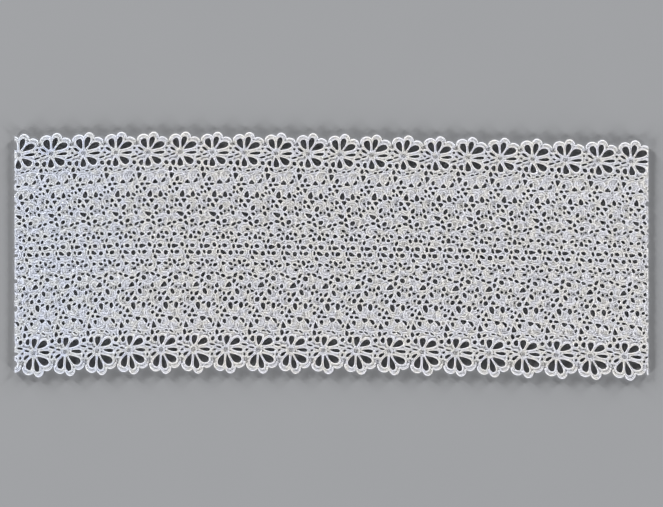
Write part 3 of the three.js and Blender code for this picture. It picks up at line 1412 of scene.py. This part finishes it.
def smooth_line(points: Array, count: int) -> Array:
    """A smooth line through a few points.

    Args:
        points: The points to pass.
        count: Number of points on the smooth line.

    Returns:
        The smooth line.
    """
    padded = np.vstack([2 * points[0] - points[1], points, 2 * points[-1] - points[-2]])
    place = np.linspace(0.0, len(points) - 1.0, count)
    span = np.minimum(place.astype(int), len(points) - 2)
    t = (place - span)[:, None]
    a, b, c, d = (padded[span + shift] for shift in range(4))
    curve = 2 * b + (c - a) * t + (2 * a - 5 * b + 4 * c - d) * t**2 + (3 * b - a - 3 * c + d) * t**3
    return curve / 2.0


class Value:
    """A shader socket that takes part in Python sums."""

    def __init__(self, nodes: "NodeSet", socket: bpy.types.NodeSocket) -> None:
        """Wraps a socket of a set of nodes."""
        self.nodes = nodes
        self.socket = socket

    def _sum(self, operation: str, first: Any, second: Any) -> "Value":
        """Adds a Math node and gives its result."""
        return self.nodes.value("ShaderNodeMath", {"operation": operation}, {0: first, 1: second})

    def __add__(self, other: Any) -> "Value":
        """This plus other."""
        return self._sum("ADD", self, other)

    __radd__ = __add__

    def __sub__(self, other: Any) -> "Value":
        """This minus other."""
        return self._sum("SUBTRACT", self, other)

    def __rsub__(self, other: Any) -> "Value":
        """Other minus this."""
        return self._sum("SUBTRACT", other, self)

    def __mul__(self, other: Any) -> "Value":
        """This times other."""
        return self._sum("MULTIPLY", self, other)

    __rmul__ = __mul__

    def wave(self) -> "Value":
        """The sine of this."""
        return self.nodes.value("ShaderNodeMath", {"operation": "SINE"}, {0: self})


class NodeSet:
    """The nodes of one material."""

    def __init__(self, name: str) -> None:
        """Starts a material with its shader and output.

        Args:
            name: Name of the material.
        """
        self.material = bpy.data.materials.new(name)
        self.material.use_nodes = True
        self.tree = self.material.node_tree
        self.tree.nodes.clear()
        self.shader = self.node("ShaderNodeBsdfPrincipled", {}, {})
        self.node("ShaderNodeOutputMaterial", {}, {"Surface": self.shader.outputs["BSDF"]})

    def node(self, kind: str, settings: dict[str, Any], inputs: dict[str | int, Any]) -> bpy.types.Node:
        """Adds a node.

        Args:
            kind: The node's type.
            settings: Its settings, which are set first.
            inputs: Values, or links from other sockets, by the socket's name or number.

        Returns:
            The new node.
        """
        node = self.tree.nodes.new(kind)
        for name, setting in settings.items():
            setattr(node, name, setting)
        self.feed(node, inputs)
        return node

    def feed(self, node: bpy.types.Node, inputs: dict[str | int, Any]) -> None:
        """Sets or links sockets of a node.

        Args:
            node: The node.
            inputs: Values, or links from other sockets, by the socket's name or number.
        """
        for name, given in inputs.items():
            given = given.socket if isinstance(given, Value) else given
            if isinstance(given, bpy.types.NodeSocket):
                self.tree.links.new(given, node.inputs[name])
            else:
                node.inputs[name].default_value = given

    def value(self, kind: str, settings: dict[str, Any], inputs: dict[str | int, Any]) -> Value:
        """Adds a node and wraps its first output."""
        return Value(self, self.node(kind, settings, inputs).outputs[0])

    def place(self) -> bpy.types.NodeSocket:
        """Where a point of the surface lies on its piece."""
        return self.node("ShaderNodeTexCoord", {}, {}).outputs["Object"]

    def noise(self, place: bpy.types.NodeSocket, scale: float) -> Value:
        """Soft noise at a place."""
        return self.value("ShaderNodeTexNoise", {}, {"Vector": place, "Scale": scale})

    def mix(self, share: Value, first: Any, second: Any, blend: str = "MIX") -> bpy.types.NodeSocket:
        """Mixes two colours by a share."""
        settings = {"data_type": "RGBA", "blend_type": blend}
        return self.node("ShaderNodeMix", settings, {0: share, 6: first, 7: second}).outputs[2]

    def ramp(self, value: Any, low: float, high: float) -> Value:
        """Runs from 0 at low to 1 at high, softly."""
        inputs = {"Value": value, "From Min": low, "From Max": high}
        return self.value("ShaderNodeMapRange", {"interpolation_type": "SMOOTHSTEP"}, inputs)


Colour = tuple[float, float, float, float]


@dataclass(frozen=True)
class YarnFinish:
    """Soft matt off-white yarn with a wound thread and cool and warm patches. Its colour also carries
    painted shade down in the grooves: darker on the low sides of the cords and walls, fading out towards
    their tops and again towards the underside.

    Blue is what its colour is multiplied by at the left end, where it is bluest. Heights and places are in
    metres, and the thread's pitch is in millimetres.
    """

    cool: Colour = (0.760, 0.765, 0.818, 1.0)
    warm: Colour = (0.783, 0.769, 0.752, 1.0)
    blue: Colour = (0.952, 1.0, 1.07, 1.0)
    # Painted shade: the colour that stands in for the shade low on the cords' sides and the ground's walls
    painted_shade: Colour = (0.25, 0.25, 0.262, 1.0)
    blue_from: float = -0.09
    blue_to: float = -0.21
    patch_scale: float = 180.0
    patch_from: float = 0.4
    patch_to: float = 0.62
    fleck_scale: float = 900.0
    fleck_least: float = 0.8
    fleck_spread: float = 0.4
    # Heights in metres where the painted shade fades out, upwards to the tops and then downwards to the
    # underside
    upper_shade_fades_from: float = 0.0007
    upper_shade_fades_to: float = 0.001
    lower_shade_fades_from: float = 0.0004
    lower_shade_fades_to: float = 0.0002
    thread_pitch: float = 0.5
    thread_relief: float = 0.00006
    relief_strength: float = 0.6
    knit_scale: float = 1900.0
    roughness: float = 0.78
    roughness_spread: float = 0.14
    sheen: float = 0.12
    specular: float = 0.3

    def cords(self) -> bpy.types.Material:
        """The finish of the cords and ribs, with the thread wound round them.

        Returns:
            The new material.
        """
        nodes = NodeSet("lace yarn cords")
        thread = nodes.node("ShaderNodeUVMap", {"uv_map": THREAD_MAP}, {}).outputs["UV"]
        parts = nodes.node("ShaderNodeSeparateXYZ", {}, {"Vector": thread})
        run, turn = Value(nodes, parts.outputs["X"]), Value(nodes, parts.outputs["Y"])
        wound = (run * (2.0 * math.pi / self.thread_pitch) + turn * (2.0 * math.pi)).wave()
        self._dress(nodes, wound)
        return nodes.material

    def ground(self) -> bpy.types.Material:
        """The finish of the ground, with fine loops.

        Returns:
            The new material.
        """
        nodes = NodeSet("lace yarn ground")
        settings = {"feature": "F1", "voronoi_dimensions": "3D"}
        inputs = {"Vector": nodes.place(), "Scale": self.knit_scale}
        loops = nodes.node("ShaderNodeTexVoronoi", settings, inputs)
        self._dress(nodes, 1.0 - Value(nodes, loops.outputs["Distance"]))
        return nodes.material

    def _dress(self, nodes: NodeSet, relief: Value) -> None:
        """Feeds the shader with the yarn's colour, with painted shade low on the sides of cords and walls,
        and with its roughness and relief.

        Args:
            nodes: The material's nodes.
            relief: Height of the thread or the loops.
        """
        place = nodes.place()
        spot = nodes.node("ShaderNodeSeparateXYZ", {}, {"Vector": place})
        along, height = spot.outputs["X"], spot.outputs["Z"]
        patches = nodes.noise(place, self.patch_scale)
        flecks = nodes.noise(place, self.fleck_scale)
        tint = nodes.mix(nodes.ramp(patches, self.patch_from, self.patch_to), self.cool, self.warm)
        bluer = nodes.ramp(along, self.blue_from, self.blue_to)
        tint = nodes.mix(bluer, tint, self.blue, "MULTIPLY")
        # Painted shade: the share of the colour left unshaded, full on the tops and again on the underside,
        # falling towards mid-height where the colour turns to the painted shade
        unshaded_above = nodes.ramp(height, self.upper_shade_fades_from, self.upper_shade_fades_to)
        unshaded_below = nodes.ramp(height, self.lower_shade_fades_from, self.lower_shade_fades_to)
        unshaded_share = (unshaded_above + unshaded_below) * (self.fleck_least + self.fleck_spread * flecks)
        bump = nodes.node("ShaderNodeBump", {}, {
            "Height": relief,
            "Strength": self.relief_strength,
            "Distance": self.thread_relief,
        })
        nodes.feed(nodes.shader, {
            "Base Color": nodes.mix(unshaded_share, self.painted_shade, tint),
            "Roughness": self.roughness + self.roughness_spread * flecks,
            "Normal": bump.outputs["Normal"],
            "Sheen Weight": self.sheen,
            "Specular IOR Level": self.specular,
        })


@dataclass(frozen=True)
class FloorFinish:
    """Plain pale grey paper with a faint tooth."""

    colour: Colour = (0.535, 0.545, 0.565, 1.0)
    shade: Colour = (0.52, 0.53, 0.55, 1.0)
    scale: float = 14.0
    roughness: float = 0.9

    def build(self) -> bpy.types.Material:
        """Makes the floor's finish.

        Returns:
            The new material.
        """
        nodes = NodeSet("pale floor")
        tint = nodes.mix(nodes.noise(nodes.place(), self.scale), self.colour, self.shade)
        nodes.feed(nodes.shader, {"Base Color": tint, "Roughness": self.roughness})
        return nodes.material


@dataclass(frozen=True)
class SoftLight:
    """One square studio light that faces the trim, in metres and watts."""

    name: str
    place: tuple[float, float, float]
    side: float
    power: float

    def build(self) -> None:
        """Hangs the light."""
        data = bpy.data.lights.new(self.name, "AREA")
        data.size = self.side
        data.energy = self.power
        light = bpy.data.objects.new(self.name, data)
        light.location = self.place
        light.rotation_euler = Vector(self.place).to_track_quat("Z", "Y").to_euler()
        bpy.context.scene.collection.objects.link(light)


@dataclass
class Studio:
    """A pale floor, soft lights and a camera straight above.

    The camera is framed by the photograph's size in pixels, the strip's width there and the row where the
    strip's middle lies. The sensor is in millimetres, and the studio in metres.
    """

    lay: StripLay
    image_width: int = 663
    image_height: int = 507
    strip_pixels: float = 242.0
    centre_pixel: float = 256.0
    camera_height: float = 1.6
    sensor: float = 36.0
    floor_radius: float = 9.0
    floor_sides: int = 64
    world: tuple[float, float, float] = (0.80, 0.82, 0.86)
    world_strength: float = 0.02
    lights: tuple[SoftLight, ...] = (
        SoftLight("upper left", (-5.6, 5.6, 0.8), 1.2, 1210.0),
        SoftLight("upper right", (5.6, 5.6, 0.8), 1.2, 975.0),
        SoftLight("lower left", (-5.6, -5.6, 0.8), 1.2, 975.0),
        SoftLight("lower right", (5.6, -5.6, 0.8), 1.2, 820.0),
    )

    def build(self) -> None:
        """Sets up the floor, lights, world and camera."""
        self._floor()
        for light in self.lights:
            light.build()
        scene = bpy.context.scene
        scene.view_settings.view_transform = "Standard"
        scene.world = bpy.data.worlds.new("studio")
        scene.world.use_nodes = True
        background = scene.world.node_tree.nodes["Background"]
        background.inputs["Color"].default_value = (*self.world, 1.0)
        background.inputs["Strength"].default_value = self.world_strength
        self._camera()

    def _floor(self) -> None:
        """Lays the floor under the trim."""
        shape = bmesh.new()
        bmesh.ops.create_circle(
            shape, cap_ends=True, radius=self.floor_radius, segments=self.floor_sides
        )
        mesh = bpy.data.meshes.new("floor")
        shape.to_mesh(mesh)
        shape.free()
        mesh.materials.append(FloorFinish().build())
        floor = bpy.data.objects.new("floor", mesh)
        bpy.context.scene.collection.objects.link(floor)

    def _camera(self) -> None:
        """Hangs the camera straight above, framed as the photograph is."""
        pixel = self.lay.width * MM / self.strip_pixels
        data = bpy.data.cameras.new("camera")
        data.sensor_width = self.sensor
        data.lens = self.sensor * self.camera_height / (self.image_width * pixel)
        camera = bpy.data.objects.new("camera", data)
        middle = (self.centre_pixel - self.image_height / 2.0) * pixel - self.lay.centre_y * MM
        camera.location = (0.0, middle, self.camera_height)
        bpy.context.scene.collection.objects.link(camera)
        bpy.context.scene.camera = camera


def centred_lay() -> StripLay:
    """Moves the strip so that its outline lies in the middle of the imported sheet.

    Returns:
        The lay of the strip.
    """
    lay = StripLay()
    low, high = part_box(CAD_NODE)
    rows = ScallopEdge(lay).outline(0.0)[:, 1]
    off = (rows.min() + rows.max() - low[1] - high[1]) / 2.0
    return replace(lay, centre_y=off / MM)


def sheet_area(piece: bpy.types.Object) -> float:
    """Area of the ground's top face, in square metres."""
    return sum(face.area for face in piece.data.polygons if face.normal.z > FACING_UP)


def main() -> None:
    logging.basicConfig(level=logging.INFO, format="%(name)s: %(message)s")
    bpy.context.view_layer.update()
    rng = np.random.default_rng(SEED)
    lay = centred_lay()
    edge = ScallopEdge(lay)
    chart = GapChart(lay, ease=0.19)
    flowers = EyeletRows(lay, chart, FLOWER_EYELETS, rng, stray=0.05, stretch=0.03)
    field_rows = EyeletRows(lay, chart, FIELD_EYELETS, rng, closing=0.1)
    pinholes = EyeletRows(lay, chart, PINHOLES, rng, stretch=0.2, closing=0.25, pierced_from=1.05)
    border_cord = CordSection(width=1.6, height=1.46, middle=0.6)
    edge_cord = CordSection(width=1.85, height=1.46, middle=0.6)
    field_cord = CordSection(width=1.15, height=1.35, middle=0.58)
    rib = CordSection(width=1.25, height=0.9, middle=0.76, corners=(0.0, 60.0, 120.0, 180.0))
    thin_cord = CordSection(width=0.8, height=0.8, middle=0.72, corners=(18.0, 90.0, 162.0, 234.0, 306.0))
    stem = CordSection(width=1.15, height=1.3, middle=0.58)

    finish = YarnFinish()
    yarn = finish.cords()
    both = (Half.UPPER, Half.LOWER)
    ground = LaceGround(lay, edge, [flowers, field_rows], pinholes).build(finish.ground())
    cords = [
        EyeletCords("flower_cords", lay, border_cord, flowers, both).build(yarn),
        FlowerRings("flower_rings", lay, border_cord).build(yarn),
        EyeletCords("upper_field_cords", lay, field_cord, field_rows, (Half.UPPER,)).build(yarn),
        EyeletCords("lower_field_cords", lay, field_cord, field_rows, (Half.LOWER,)).build(yarn),
        EyeletCords("pinhole_cords", lay, thin_cord, pinholes, both, least=7).build(yarn),
        LeafRibs("leaf_ribs", lay, rib).build(yarn),
        StemCords("stem_cords", lay, stem).build(yarn),
        EdgeCords("edge_cords", lay, edge_cord).build(yarn),
    ]
    sheet_area(ground)
    Studio(lay).build()

    for piece in [ground, *cords]:
        triangles = sum(len(face.vertices) - 2 for face in piece.data.polygons)
        LOG.info("%s: %d triangles", piece.name, triangles)


if __name__ == "__main__":
    main()
